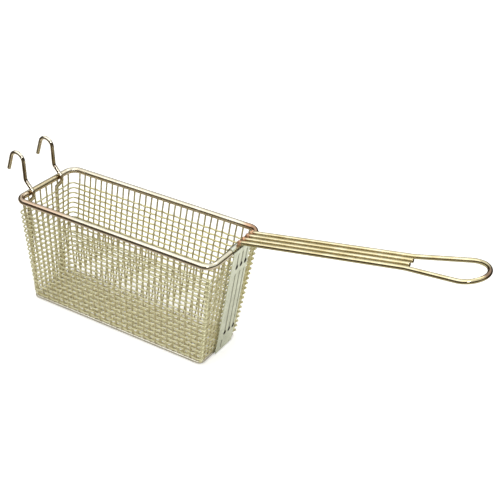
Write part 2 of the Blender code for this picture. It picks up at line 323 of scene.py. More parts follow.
def new_wire(name, radius, smoothness):
    """Curve data that makes its splines round wires with closed ends."""
    curve = bpy.data.curves.new(name, "CURVE")
    curve.dimensions = "3D"
    curve.bevel_depth = radius
    curve.bevel_resolution = smoothness
    curve.use_fill_caps = True
    return curve


def add_spline(curve, path, closed=False, end_scale=1.0):
    """Adds one wire to the curve, with its open ends narrowed by end_scale."""
    spline = curve.splines.new("POLY")
    spline.points.add(len(path) - 1)
    spline.use_cyclic_u = closed
    for point, place in zip(spline.points, path):
        point.co = (*place, 1.0)
    if not closed:
        spline.points[0].radius = end_scale
        spline.points[-1].radius = end_scale


def with_ground_ends(path, length):
    """Adds two points just inside each end: the end is narrowed and the long run stays straight."""
    out = (path[1] - path[0]).normalized() * length
    back = (path[-2] - path[-1]).normalized() * length
    start = [path[0], path[0] + out, path[0] + out * 2]
    return start + path[1:-1] + [path[-1] + back * 2, path[-1] + back, path[-1]]


def smooth_mesh(name, shape):
    """Turns a bmesh into smooth shaded mesh data."""
    data = bpy.data.meshes.new(name)
    shape.to_mesh(data)
    shape.free()
    data.shade_smooth()
    return data


def place_piece(name, data, material, replaced=()):
    """Links a piece, which rides on the basket's body and may stand for CAD nodes."""
    piece = bpy.data.objects.new(name, data)
    bpy.context.scene.collection.objects.link(piece)
    piece.data.materials.append(material)
    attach(piece, BODY)
    if replaced:
        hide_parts(*replaced)
    return piece


def rod_piece(name, path, radius, material, replaced):
    """A round rod with lightly ground ends."""
    curve = new_wire(name, radius, ROD_SMOOTHNESS)
    add_spline(curve, with_ground_ends(path, radius * GROUND_LENGTH), end_scale=GROUND_END)
    return place_piece(name, curve, material, replaced)


# An upright wire's place at its top, just under the rim, and where it turns in at the bottom
Upright = namedtuple("Upright", "top low")


class Basket:
    """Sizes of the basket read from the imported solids, with the middle of the rim as origin."""

    def __init__(self, sizes):
        rim_low, rim_high = map(Vector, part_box("rim_wire"))
        frame_low, frame_high = map(Vector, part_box("bottom_frame_wire"))
        self.centre = (rim_low + rim_high) / 2
        self.rim_radius = (rim_high.z - rim_low.z) / 2
        self.rim_half_length = (rim_high.x - rim_low.x) / 2 - self.rim_radius
        self.rim_half_width = (rim_high.y - rim_low.y) / 2 - self.rim_radius
        self.frame_radius = (frame_high.z - frame_low.z) / 2
        self.depth = self.centre.z - (frame_low.z + frame_high.z) / 2
        self.frame_rear = frame_low.x + self.frame_radius - self.centre.x
        self.frame_front = frame_high.x - self.frame_radius - self.centre.x
        self.frame_half_width = (frame_high.y - frame_low.y) / 2 - self.frame_radius
        self.sizes = sizes

    def share(self, z):
        """0 at the rim and 1 at the bottom frame."""
        return -z / self.depth

    def rear(self, z):
        """How far along the rear wall lies at a height."""
        return -self.rim_half_length + (self.frame_rear + self.rim_half_length) * self.share(z)

    def front(self, z):
        """How far along the front wall lies at a height."""
        return self.rim_half_length + (self.frame_front - self.rim_half_length) * self.share(z)

    def side(self, z):
        """Half the width between the long walls at a height."""
        return self.rim_half_width + (self.frame_half_width - self.rim_half_width) * self.share(z)

    def at(self, x, y, z):
        """A place in the scene, from its place off the middle of the rim."""
        return self.centre + Vector((x, y, z))

    def moved(self, points):
        """The same for a list of places."""
        return [point + self.centre for point in points]


class Carrier:
    """The middle line of a woven wire, as straight runs and arcs read by distance along it."""

    def __init__(self, points, outwards, closed=False):
        self.closed = closed
        self.points = points + [points[0]] if closed else points
        self.outwards = outwards + [outwards[0]] if closed else outwards
        self.marks = [0.0]
        for one, other in zip(self.points, self.points[1:]):
            self.marks.append(self.marks[-1] + (other - one).length)
        self.length = self.marks[-1]

    def __call__(self, distance):
        """Place and outward direction at a distance, which goes on round a closed line."""
        if self.closed and distance > self.length:
            distance -= self.length
        distance = min(max(distance, 0.0), self.length)
        index = 0
        while index < len(self.marks) - 2 and self.marks[index + 1] < distance:
            index += 1
        length = self.marks[index + 1] - self.marks[index]
        share = (distance - self.marks[index]) / length if length else 0.0
        place = self.points[index].lerp(self.points[index + 1], share)
        outward = self.outwards[index].lerp(self.outwards[index + 1], share).normalized()
        return place, outward

    def nearest(self, place):
        """Distance along the line of the point nearest to place."""
        best = (math.inf, 0.0)
        for index, (one, other) in enumerate(zip(self.points, self.points[1:])):
            run = other - one
            share = min(max((place - one).dot(run) / run.length_squared, 0.0), 1.0) if run.length else 0.0
            gap = (one + run * share - place).length
            best = min(best, (gap, self.marks[index] + run.length * share))
        return best[1]


def crimped_run(carrier, first, second, height, steps):
    """Points from one crossing up to the next, swinging smoothly from one side to the other. A
    crossing is (distance, side), where side is 1 if the wire passes outside its neighbour there."""
    start, side = first
    end, next_side = second
    run = []
    for step in range(steps):
        share = step / steps
        ease = (1 - math.cos(math.pi * share)) / 2
        place, outward = carrier(start + (end - start) * share)
        run.append(place + outward * height * (side + (next_side - side) * ease))
    return run


def crimped(carrier, crossings, height, steps):
    """Points of a woven wire over all of its crossings but the last."""
    path = []
    for first, second in zip(crossings, crossings[1:]):
        path += crimped_run(carrier, first, second, height, steps)
    return path


def outward_normals(points, inside):
    """Normals of a flat line of points, square to it and away from the inside point."""
    normals = []
    for index, point in enumerate(points):
        before = points[max(index - 1, 0)]
        after = points[min(index + 1, len(points) - 1)]
        run = (after - before).normalized()
        away = point - inside
        away = away - run * away.dot(run)
        normals.append(away.normalized())
    return normals


def Length(name, description, default):
    """A length in metres that the user can change."""
    return FloatProperty(name=name, description=description, default=default, unit="LENGTH", precision=5)


def Angle(name, description, degrees):
    """An angle that the user can change."""
    return FloatProperty(name=name, description=description, default=math.radians(degrees), subtype="ANGLE")


def Factor(name, description, default):
    """A share from 0 to 1 that the user can change."""
    return FloatProperty(name=name, description=description, default=default, subtype="FACTOR",
                         min=0.0, max=1.0, precision=3)


def Power(name, description, watts):
    """A light's power that the user can change."""
    return FloatProperty(name=name, description=description, default=watts, unit="POWER")


def Count(name, description, default):
    """A number of like things that the user can change."""
    return IntProperty(name=name, description=description, default=default, min=2)


def Span(name, description, start, end):
    """Two distances down the front wall that the user can change."""
    return FloatVectorProperty(name=name, description=description, default=(start, end), size=2,
                               unit="LENGTH", precision=4)


def Colour(name, description, default):
    """A colour that the user can change."""
    return FloatVectorProperty(name=name, description=description, default=default, size=3,
                               subtype="COLOR", min=0.0, max=1.0)


class MeshSizes(bpy.types.PropertyGroup):
    """Wires of the woven cloth"""
    wire_diameter: Length("Wire diameter", "Of the woven wire", 0.0025)
    crimp: Factor("Crimp", "Waviness of the wires, as a share of their radius", 0.4)
    first_row: Length("First row", "Below the middle of the rim wire", 0.0225)
    row_pitch: Length("Row pitch", "Between level wires", 0.00827)
    rows: Count("Rows", "Level wires round the walls", 19)
    side_wires: Count("Side wires", "Upright wires in each long wall", 30)
    end_wires: Count("End wires", "Upright wires in each end wall", 9)
    end_margin: Length("End margin", "From a corner of an end wall to its first wire", 0.0105)
    side_margin: Length("Side margin", "From a corner of a long wall to its first wire", 0.0145)
    low_margin: Length("Low margin", "The same at the bottom", 0.0085)
    corner_radius: Length("Rim corner radius", "Of the rim wire", 0.015)
    rear_corner: Length("Rear corner radius", "Of the level wires", 0.006)
    front_corner: Length("Front corner radius", "Of the level wires", 0.0025)
    fold: Length("Fold radius", "Where the walls turn into the bottom", 0.0055)
    samples: Count("Points per opening", "Along each woven wire", 4)
    lacing_radius: Length("Lacing radius", "Of the turns wound down the front corners", 0.0017)
    lacing_wire: Length("Lacing wire", "Diameter of the wire of those turns", 0.0031)
    lacing_points: Count("Points per turn", "Of the lacing", 10)


class RodSizes(bpy.types.PropertyGroup):
    """Rods and the gaps left for welds"""
    rod_radius: Length("Rod radius", "Of the handle rods", 0.003175)
    hook_radius: Length("Hook rod radius", "Of the hook rods", 0.00278)
    seat: Length("Weld gap", "Left between welded pieces in the solids", 0.0003)
    frame_corner: Length("Frame corner", "Bend radius of the bottom frame", 0.007)
    mesh_half: Length("Mesh half thickness", "Of the solid mesh, for the hook legs", 0.0018)


class HookSizes(bpy.types.PropertyGroup):
    """Bends of the hook rods"""
    crossing_z: Length("Crossing height", "Where the rod passes through the mesh", -0.0137)
    crossing_angle: Angle("Crossing angle", "Of the rod there, from upright", 42)
    setback_angle: Angle("Setback angle", "Of the rod over the rim, from upright", 40)
    shank_x: Length("Shank setback", "Behind the middle of the rim wire", 0.0058)
    shank_bend: Length("Shank bend", "Bend radius into the shank", 0.008)
    radius: Length("Hook radius", "At the centre of the rod", 0.0116)
    centre_z: Length("Hook centre", "Height of the arc's centre over the rim", 0.0479)
    tip_flare: Angle("Tip flare", "Of the tip, from upright", 20)
    tip_length: Length("Tip length", "Straight part of the tip", 0.0242)


class HandleSizes(bpy.types.PropertyGroup):
    """Rods and eye of the handle"""
    rise: Angle("Rise", "Slope of the handle", 10.4)
    pitch: Length("Rod pitch", "Between neighbouring rods", 0.01025)
    rod_start: Length("Rod start", "Along the handle from the rim", 0.0045)
    middle_end: Length("Middle rods' end", "Along the handle", 0.2437)
    eye_start: Length("Eye start", "Along the handle", 0.240)
    eye_end: Length("Eye end", "Along the handle", 0.3397)
    eye_width: Length("Eye width", "Between rod centres", 0.0535)
    eye_bend: Length("Eye bend", "Bend radius where the eye opens", 0.045)


class PlateSizes(bpy.types.PropertyGroup):
    """Sheet, folds and grooves of the front plate"""
    sheet: Length("Sheet", "Thickness", 0.0012)
    tail_gap: Length("Tail gap", "Between the tail and the frame wire", 0.0015)
    hook_angle: Angle("Fold angle", "How far the fold goes over the rim", 205)
    tail_angle: Angle("Tail angle", "How far the tail turns in under the frame", -24)
    groove_centre: Length("Groove centre", "Off the basket's centre line at the rim", 0.0120)
    groove_pitch: Length("Groove pitch", "Between grooves", 0.0108)
    groove_lean: Factor("Groove lean", "Sideways drift of the grooves, per unit down", 0.018)
    groove_width: Length("Groove width", "At the face", 0.0040)
    upper_span: Span("Upper grooves", "Start and end below the rim", 0.006, 0.0327)
    lower_span: Span("Lower grooves", "Start and end below the rim", 0.0410, 0.1522)
    tail_span: Span("Tail groove", "Start and end below the rim", 0.1600, 0.1735)
    press: Factor("Press", "Groove depth as a share of the gap to the mesh", 0.6)
    run_out: Length("Run-out", "Length over which a groove rises to the face", 0.004)
    mark_radius: Length("Weld mark", "Radius of a spot weld burn", 0.0034)
    edge_radius: Length("Edge", "Rounding of the sheared edge", 0.0003)


class StageSettings(bpy.types.PropertyGroup):
    """Camera, lights, floor and surroundings"""
    azimuth: Angle("Azimuth", "Of the camera round the basket", 30.98)
    elevation: Angle("Elevation", "Of the camera", 31.53)
    roll: Angle("Roll", "Of the camera", 1.46)
    camera_place: FloatVectorProperty(name="Camera", description="Place from the middle of the rim",
                                      default=(0.7366, -0.9108, 0.6576), size=3, subtype="TRANSLATION")
    lens: FloatProperty(name="Lens", description="Focal length", default=68.08, unit="CAMERA")
    floor_size: Length("Floor", "Side of the floor", 14.0)
    key_power: Power("Key light", "Large soft light from above the near side", 12.0)
    back_power: Power("Back light", "Soft light from above the far side", 3.0)
    sparkle_power: Power("Sparkle light", "Small light near the camera, for sharp glints", 4.2)
    key_colour: Colour("Key light colour", "Of the large soft light", (1.0, 0.985, 0.95))
    paper: Colour("Paper", "Floor's own colour", (0.93, 0.93, 0.93))
    near_shine: Colour("Near shine", "Floor near the basket, as metal mirrors it", (0.96, 0.95, 0.88))
    far_shine: Colour("Far shine", "Floor further off, as metal mirrors it", (0.12, 0.10, 0.07))
    low_sky: Colour("Low sky", "Surroundings near the horizon", (0.06, 0.052, 0.04))
    high_sky: Colour("High sky", "Surroundings overhead", (0.90, 0.90, 0.87))


class FinishLooks(bpy.types.PropertyGroup):
    """Colours and roughness of the finishes"""
    rim_bright: Colour("Rim, bright", "Bright patches of its plating", (0.92, 0.87, 0.74))
    rim_dull: Colour("Rim, dull", "Dull patches of its plating", (0.80, 0.73, 0.58))
    # Painted shade: colour of the sides that face down
    rim_underside_shade: Colour("Rim, tarnish", "Where it faces down", (0.56, 0.45, 0.35))
    rim_roughness: Factor("Rim, roughness", "Of its plating", 0.20)
    # Painted reflection: pinkish colour of that stretch of the rim
    rim_warm_reflection: Colour("Rim, blush", "Warm stretch near its rear near corner", (0.66, 0.45, 0.32))
    rim_olive: Colour("Rim, olive", "Stretch between the hooks", (0.52, 0.44, 0.25))
    rim_pale: Colour("Rim, pale", "Stretch near its front near corner", (0.80, 0.76, 0.60))
    rim_scald: Colour("Rim, scald", "Copper brown far front corner", (0.52, 0.25, 0.12))
    frame_bright: Colour("Frame, bright", "Bright patches of its plating", (0.95, 0.93, 0.86))
    frame_dull: Colour("Frame, dull", "Dull patches of its plating", (0.80, 0.77, 0.68))
    # Painted shade: colour of the sides that face down
    frame_underside_shade: Colour("Frame, tarnish", "Where it faces down", (0.42, 0.38, 0.30))
    frame_roughness: Factor("Frame, roughness", "Of its plating", 0.14)
    hook_bright: Colour("Hooks, bright", "Bright patches of their plating", (0.98, 0.94, 0.82))
    hook_dull: Colour("Hooks, dull", "Dull patches of their plating", (0.86, 0.78, 0.62))
    # Painted shade: colour of the sides that face down
    hook_underside_shade: Colour("Hooks, tarnish", "Where they face down", (0.42, 0.34, 0.22))
    hook_roughness: Factor("Hooks, roughness", "Of their plating", 0.07)
    # Painted shade: dark colour of the shanks, which mirror dark surroundings
    hook_shank_shade: Colour("Hooks, shanks", "Browned shanks", (0.27, 0.20, 0.15))
    handle_bright: Colour("Handle, bright", "Bright patches of its plating", (0.94, 0.86, 0.60))
    handle_dull: Colour("Handle, dull", "Dull patches of its plating", (0.74, 0.64, 0.38))
    # Painted shade: colour of the sides that face down
    handle_underside_shade: Colour("Handle, tarnish", "Where it faces down", (0.30, 0.25, 0.12))
    handle_roughness: Factor("Handle, roughness", "Of its plating", 0.14)
    handle_eye: Colour("Handle, eye", "Browned end of the eye", (0.20, 0.09, 0.08))
    level_wire_bright: Colour("Level wires, bright", "Bright patches", (0.99, 0.97, 0.70))
    level_wire_dull: Colour("Level wires, dull", "Dull patches", (0.90, 0.87, 0.58))
    # Painted shade: colour of the sides that face down
    level_wire_underside_shade: Colour("Level wires, tarnish", "Where they face down", (0.68, 0.63, 0.38))
    level_wire_roughness: Factor("Level wires, roughness", "Of their plating", 0.36)
    level_wire_varnish: Colour("Level wires, varnish", "Fat burnt on the far wall", (0.88, 0.80, 0.36))
    # Painted shade: the crossing wires' colours are darker than the level wires' to shade the upright wires
    crossing_wire_bright: Colour("Crossing wires, bright", "Bright patches", (0.89, 0.84, 0.57))
    crossing_wire_dull: Colour("Crossing wires, dull", "Dull patches", (0.72, 0.66, 0.42))
    # Painted shade: colour of the sides that face down
    crossing_wire_underside_shade: Colour("Crossing wires, tarnish", "Where they face down", (0.49, 0.43, 0.26))
    crossing_wire_roughness: Factor("Crossing wires, roughness", "Of their plating", 0.36)
    plate_bright: Colour("Plate, bright", "Bright patches of the sheet", (0.83, 0.86, 0.75))
    plate_dull: Colour("Plate, dull", "Dull patches of the sheet", (0.68, 0.71, 0.60))
    plate_rolled: Colour("Plate, rolling marks", "Fine lengthwise lines", (0.42, 0.43, 0.36))
    # Painted shade along the grooves
    plate_groove_shade: Colour("Plate, dirt", "Along the grooves", (0.20, 0.19, 0.14))
    plate_burn: Colour("Plate, burns", "Spot weld burns", (0.035, 0.025, 0.02))
    plate_roughness: Factor("Plate, roughness", "Of the sheet", 0.26)
    brazing_bright: Colour("Brazing, bright", "Copper coloured patches", (0.80, 0.52, 0.34))
    brazing_dull: Colour("Brazing, dull", "Browned patches", (0.42, 0.22, 0.11))
    straw: Colour("Straw", "Outer colour of a heat stain", (0.60, 0.47, 0.30))
    scorch: Colour("Scorch", "Inner colour of a heat stain", (0.27, 0.17, 0.11))


def build_rim(scene):
    """Rim wire, a closed loop, with a painted warm reflection and the paler stretches of its plating."""
    basket = Basket(scene.basket_mesh)
    looks = scene.basket_looks
    corner = basket.sizes.corner_radius
    end, side = basket.rim_half_length, basket.rim_half_width
    path = rounded_rectangle(-end, end, side, 0.0, corner, corner, RIM_CORNER_STEPS)
    curve = new_wire("rim_rod", basket.rim_radius, RIM_SMOOTHNESS)
    add_spline(curve, basket.moved(path), closed=True)
    heat_spots = [(basket.at(-end, -side, 0.0), 0.010)]
    # Painted reflection: the pinkish stretch near the rear near corner
    tints = [(basket.at(-end * 0.72, -side, 0.0), 0.062, looks.rim_warm_reflection),
             (basket.at(-end, 0.0, 0.0), 0.045, looks.rim_olive),
             (basket.at(end, -side * 0.72, 0.0), 0.032, looks.rim_pale),
             (basket.at(end - 0.003, side - 0.004, 0.0), 0.026, looks.rim_scald)]
    finish = plated_metal("rim", looks, heat_spots, tints)
    place_piece("rim_rod", curve, finish, ["rim_wire"])


def build_frame(scene):
    """Bottom frame, a closed loop under the edge of the cloth."""
    basket = Basket(scene.basket_mesh)
    corner = scene.basket_rods.frame_corner
    path = rounded_rectangle(basket.frame_rear, basket.frame_front, basket.frame_half_width, -basket.depth,
                             corner, corner, FRAME_CORNER_STEPS)
    curve = new_wire("bottom_frame_rod", basket.frame_radius, FRAME_SMOOTHNESS)
    add_spline(curve, basket.moved(path), closed=True)
    finish = plated_metal("frame", scene.basket_looks)
    place_piece("bottom_frame_rod", curve, finish, ["bottom_frame_wire"])


def hook_path(basket, rods, hook, y):
    """Path of a hook rod, from its foot on the rear wall, through the mesh and over to its tip."""
    beside = basket.rim_radius + rods.hook_radius + rods.seat
    leg_gap = rods.mesh_half + rods.seat + rods.hook_radius
    rim_rear = -basket.rim_half_length
    inside_x = rim_rear + beside
    slant = 1 / math.tan(hook.crossing_angle)
    crossing_x = basket.rear(hook.crossing_z)
    foot_z = -basket.depth + basket.frame_radius + rods.seat
    foot = Vector((basket.rear(foot_z) - leg_gap, y, foot_z))
    under = Vector((crossing_x - leg_gap, y, hook.crossing_z - leg_gap * slant))
    inner_low = Vector((inside_x, y, hook.crossing_z + (inside_x - crossing_x) * slant))
    inner_top = Vector((inside_x, y, beside * math.tan(hook.setback_angle / 2)))
    shank_x = rim_rear - hook.shank_x
    shank_z = inner_top.z + (inside_x - shank_x) / math.tan(hook.setback_angle)
    shank_low = Vector((shank_x, y, shank_z))
    arc = []
    sweep = math.pi - hook.tip_flare
    for step in range(HOOK_ARC_STEPS + 1):
        turn = sweep * step / HOOK_ARC_STEPS
        x = shank_x - hook.radius + hook.radius * math.cos(turn)
        arc.append(Vector((x, y, hook.centre_z + hook.radius * math.sin(turn))))
    tip = arc[-1] - hook.tip_length * Vector((math.sin(hook.tip_flare), 0.0, math.cos(hook.tip_flare)))
    leg = bent_wire([foot, under, inner_low, inner_top, shank_low, arc[0]],
                    [beside, beside, beside, hook.shank_bend], HOOK_BEND_STEPS)
    return leg[:-1] + arc + [tip]


def build_hooks(scene):
    """Both hook rods, which run up the rear wall, pass inside the rim and bend over."""
    basket = Basket(scene.basket_mesh)
    rods, hook, looks = scene.basket_rods, scene.basket_hook, scene.basket_looks
    places = {}
    for node in ("hook_rod_near", "hook_rod_far"):
        low, high = map(Vector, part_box(node))
        places[node] = (low.y + high.y) / 2 - basket.centre.y
    rear = -basket.rim_half_length
    heat_spots = []
    browning_and_shade = []
    for y in places.values():
        heat_spots.append((basket.at(rear + basket.rim_radius, y, 0.0), 0.007))
        # Painted shade: the shanks are darkened brown, standing in for the dark surroundings they mirror
        browning_and_shade.append((basket.at(rear - hook.shank_x, y, hook.centre_z * 0.6), 0.019, looks.hook_shank_shade))
    finish = plated_metal("hook", looks, heat_spots, browning_and_shade)
    for node, y in places.items():
        path = basket.moved(hook_path(basket, rods, hook, y))
        rod_piece(node.replace("_rod", ""), path, rods.hook_radius, finish, [node])


def handle_places(scene):
    """Gives the function from (along, across) to a place on the handle's sloping plane."""
    basket = Basket(scene.basket_mesh)
    sizes = scene.basket_handle
    fold_radius = basket.rim_radius + scene.basket_plate.sheet + 2 * scene.basket_rods.seat
    lift = scene.basket_rods.rod_radius + math.sqrt(fold_radius ** 2 - sizes.rod_start ** 2)
    near_low = Vector(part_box("handle_middle_rod_near")[0])
    far_high = Vector(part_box("handle_middle_rod_far")[1])
    middle_y = (near_low.y + far_high.y) / 2
    rim_front = basket.centre.x + basket.rim_half_length

    def place(along, across):
        x = rim_front + along * math.cos(sizes.rise) - lift * math.sin(sizes.rise)
        z = basket.centre.z + along * math.sin(sizes.rise) + lift * math.cos(sizes.rise)
        return Vector((x, middle_y + across, z))

    return place


def build_handle(scene):
    """Two straight middle rods and the long rod that is bent to an eye."""
    sizes, looks = scene.basket_handle, scene.basket_looks
    radius = scene.basket_rods.rod_radius
    place = handle_places(scene)
    side = 1.5 * sizes.pitch
    bow = sizes.eye_width / 2
    centre = sizes.eye_end - sizes.eye_start - bow
    flare = math.asin(bow / math.hypot(side, centre)) - math.atan2(side, centre)
    sweep = math.pi / 2 + flare
    arc = []
    for step in range(EYE_ARC_STEPS + 1):
        turn = sweep - 2 * sweep * step / EYE_ARC_STEPS
        arc.append(place(sizes.eye_start + centre + bow * math.cos(turn), bow * math.sin(turn)))
    first, last = place(sizes.rod_start, side), place(sizes.rod_start, -side)
    out = rounded_corner(first, place(sizes.eye_start, side), arc[0], sizes.eye_bend, EYE_BEND_STEPS)
    back = rounded_corner(arc[-1], place(sizes.eye_start, -side), last, sizes.eye_bend, EYE_BEND_STEPS)
    path = [first] + out + arc + back + [last]
    heat_spots = [(place(sizes.rod_start, across), 0.008) for across in (-side, -side / 3, side / 3, side)]
    browning_and_shade = [(place(sizes.eye_end, 0.0), 0.016, looks.handle_eye)]
    finish = plated_metal("handle", looks, heat_spots, browning_and_shade)
    rod_piece("handle_eye", path, radius, finish, ["handle_eye_rod"])
    for node, across in (("handle_middle_rod_near", -side / 3), ("handle_middle_rod_far", side / 3)):
        path = [place(sizes.rod_start, across), place(sizes.middle_end, across)]
        rod_piece(node.replace("_rod", ""), path, radius, finish, [node])


def woven_finishes(basket, looks):
    """The level wires keep their bright plating, yellowed by frying fat along the far wall. The wires
    woven through them are painted darker, as painted shade of upright wires that mirror dark
    surroundings. A film of fat makes both less like bare metal."""
    filmed = 0.75
    height, reach = -0.06, 0.07
    varnish = []
    for share in (-0.66, 0.0, 0.66):
        spot = basket.at(basket.rim_half_length * share, basket.side(height), height)
        varnish.append((spot, reach, looks.level_wire_varnish))
    level = plated_metal("level_wire", looks, tints=varnish, metallic=filmed)
    crossing = plated_metal("crossing_wire", looks, metallic=filmed)
    return level, crossing


def side_upright(basket, index):
    """An upright wire of the far long wall, counted from the rear."""
    sizes = basket.sizes
    top_z, low_z = -basket.rim_radius, -basket.depth
    share = index / (sizes.side_wires - 1)
    high_x = basket.rear(top_z) + sizes.side_margin
    high_x += (basket.front(top_z) - basket.rear(top_z) - 2 * sizes.side_margin) * share
    low_x = basket.rear(low_z) + sizes.low_margin
    low_x += (basket.front(low_z) - basket.rear(low_z) - 2 * sizes.low_margin) * share
    return Upright(Vector((high_x, basket.side(top_z), top_z)), Vector((low_x, basket.side(low_z), low_z)))


def end_upright(basket, index, wall):
    """An upright wire of an end wall, whose place along the basket is wall of a height."""
    sizes = basket.sizes
    top_z, low_z = -basket.rim_radius, -basket.depth
    share = index / (sizes.end_wires - 1)
    high_y = (basket.side(top_z) - sizes.end_margin) * (2 * share - 1)
    low_y = (basket.side(low_z) - sizes.low_margin) * (2 * share - 1)
    return Upright(Vector((wall(top_z), high_y, top_z)), Vector((wall(low_z), low_y, low_z)))


def mirrored(wire):
    """The same upright wire in the near long wall."""
    return Upright(MIRROR @ wire.top, MIRROR @ wire.low)


def on_wire(wire, z):
    """The place at height z on the straight line of an upright wire."""
    return wire.top.lerp(wire.low, (z - wire.top.z) / (wire.low.z - wire.top.z))


def row_heights(basket):
    """Heights of the level wires, from the top down."""
    sizes = basket.sizes
    return [-(sizes.first_row + row * sizes.row_pitch) for row in range(sizes.rows)]


def side_sign(column, row):
    """1 or -1 in turn, as a plain weave passes outside and inside its neighbours."""
    return 1 if (column + row) % 2 == 0 else -1


def hanging_wire(basket, column, first, second, first_sign, below):
    """Path of a wire that goes down one wall, under the bottom and up the opposite wall.

    First and second are its upright stretches. A first sign of -1 turns the weave of the first one
    inside out. Below holds its crossings under the bottom as (place, side)."""
    sizes = basket.sizes
    points = bent_wire([first.top, first.low, second.low, second.top], [sizes.fold, sizes.fold],
                       CLOTH_FOLD_STEPS)
    carrier = Carrier(points, outward_normals(points, (first.top + second.top) / 2))
    rows = list(enumerate(row_heights(basket)))
    crossings = [(0.0, 0)]
    for row, z in rows:
        crossings.append((carrier.nearest(on_wire(first, z)), first_sign * side_sign(column, row)))
    for spot, side in below:
        crossings.append((carrier.nearest(spot), side))
    for row, z in reversed(rows):
        crossings.append((carrier.nearest(on_wire(second, z)), side_sign(column, row)))
    crossings.append((carrier.length, 0))
    crimp = sizes.wire_diameter / 2 * sizes.crimp
    return crimped(carrier, crossings, crimp, sizes.samples) + [second.top]


def level_outwards():
    """Outward directions of the points of a level wire, in the order of its rounded corners."""
    outwards = []
    for start in (math.pi, -math.pi / 2, 0.0, math.pi / 2):
        for step in range(CLOTH_CORNER_STEPS + 1):
            turn = start + math.pi / 2 * step / CLOTH_CORNER_STEPS
            outwards.append(Vector((math.cos(turn), math.sin(turn), 0.0)))
    return outwards


def level_wire(basket, row, z, side_wires, end_wires):
    """Closed path of a level wire. It passes inside the upright wires that pass outside it, and
    outside the others."""
    sizes = basket.sizes
    points = rounded_rectangle(basket.rear(z), basket.front(z), basket.side(z), z, sizes.rear_corner,
                               sizes.front_corner, CLOTH_CORNER_STEPS)
    carrier = Carrier(points, level_outwards(), closed=True)
    crossings = []
    for column, wire in enumerate(side_wires):
        sign = side_sign(column, row)
        crossings.append((carrier.nearest(on_wire(mirrored(wire), z)), -sign))
        crossings.append((carrier.nearest(on_wire(wire, z)), -sign))
    for column, (rear, front) in enumerate(end_wires):
        sign = side_sign(column, row)
        crossings.append((carrier.nearest(on_wire(rear, z)), sign))
        crossings.append((carrier.nearest(on_wire(front, z)), -sign))
    crossings.sort()
    crimp = sizes.wire_diameter / 2 * sizes.crimp
    start, side = crossings[0]
    path = crimped(carrier, crossings, crimp, sizes.samples)
    return path + crimped_run(carrier, crossings[-1], (start + carrier.length, side), crimp, CLOSING_STEPS)


def lacing_path(basket, hand):
    """The wire that closes a front corner: one turn for each level wire, outermost over it, with a
    part of a turn before the first and after the last. Hand is 1 at the far corner, -1 at the near."""
    sizes = basket.sizes
    overrun = 0.4
    steps = round((sizes.rows - 1 + 2 * overrun) * sizes.lacing_points)
    path = []
    for step in range(steps + 1):
        turns = step / sizes.lacing_points - overrun
        z = -sizes.first_row - sizes.row_pitch * turns
        turn = hand * (math.pi / 4 + 2 * math.pi * turns)
        out = Vector((math.cos(turn), math.sin(turn), 0.0)) * sizes.lacing_radius
        path.append(Vector((basket.front(z), hand * basket.side(z), z)) + out)
    return path


def build_cloth(scene):
    """Plain woven cloth: level wires round the walls, wires of both ways that hang from wall to wall
    under the bottom, and the lacing of both front corners."""
    basket = Basket(scene.basket_mesh)
    sizes = basket.sizes
    radius = sizes.wire_diameter / 2
    cross_curve = new_wire("woven_cross_wires", radius, CLOTH_SMOOTHNESS)
    long_curve = new_wire("woven_long_wires", radius, CLOTH_SMOOTHNESS)
    level_curve = new_wire("woven_level_wires", radius, CLOTH_SMOOTHNESS)
    lacing_curve = new_wire("corner_lacing", sizes.lacing_wire / 2, LACING_SMOOTHNESS)
    side_wires = [side_upright(basket, index) for index in range(sizes.side_wires)]
    rear_wires = [end_upright(basket, index, basket.rear) for index in range(sizes.end_wires)]
    front_wires = [end_upright(basket, index, basket.front) for index in range(sizes.end_wires)]
    end_wires = list(zip(rear_wires, front_wires))

    for column, wire in enumerate(side_wires):
        below = [(Vector((wire.low.x, rear.low.y, wire.low.z)), side_sign(column, sizes.rows + index))
                 for index, rear in enumerate(rear_wires)]
        path = hanging_wire(basket, column, mirrored(wire), wire, 1, below)
        add_spline(cross_curve, basket.moved(path))
    for column, (rear, front) in enumerate(end_wires):
        below = [(Vector((wire.low.x, rear.low.y, wire.low.z)), -side_sign(index, sizes.rows + column))
                 for index, wire in enumerate(side_wires)]
        path = hanging_wire(basket, column, rear, front, -1, below)
        add_spline(long_curve, basket.moved(path))
    for row, z in enumerate(row_heights(basket)):
        path = level_wire(basket, row, z, side_wires, end_wires)
        add_spline(level_curve, basket.moved(path), closed=True)
    for hand in (-1, 1):
        add_spline(lacing_curve, basket.moved(lacing_path(basket, hand)))

    level, crossing = woven_finishes(basket, scene.basket_looks)
    place_piece("woven_level_wires", level_curve, level, ["mesh_body"])
    place_piece("woven_cross_wires", cross_curve, crossing)
    place_piece("woven_long_wires", long_curve, crossing)
    place_piece("corner_lacing", lacing_curve, level)


def facing(turn):
    """Direction in the plate's side view, as (x, z), at an angle up from the front."""
    return Vector((math.cos(turn), math.sin(turn)))


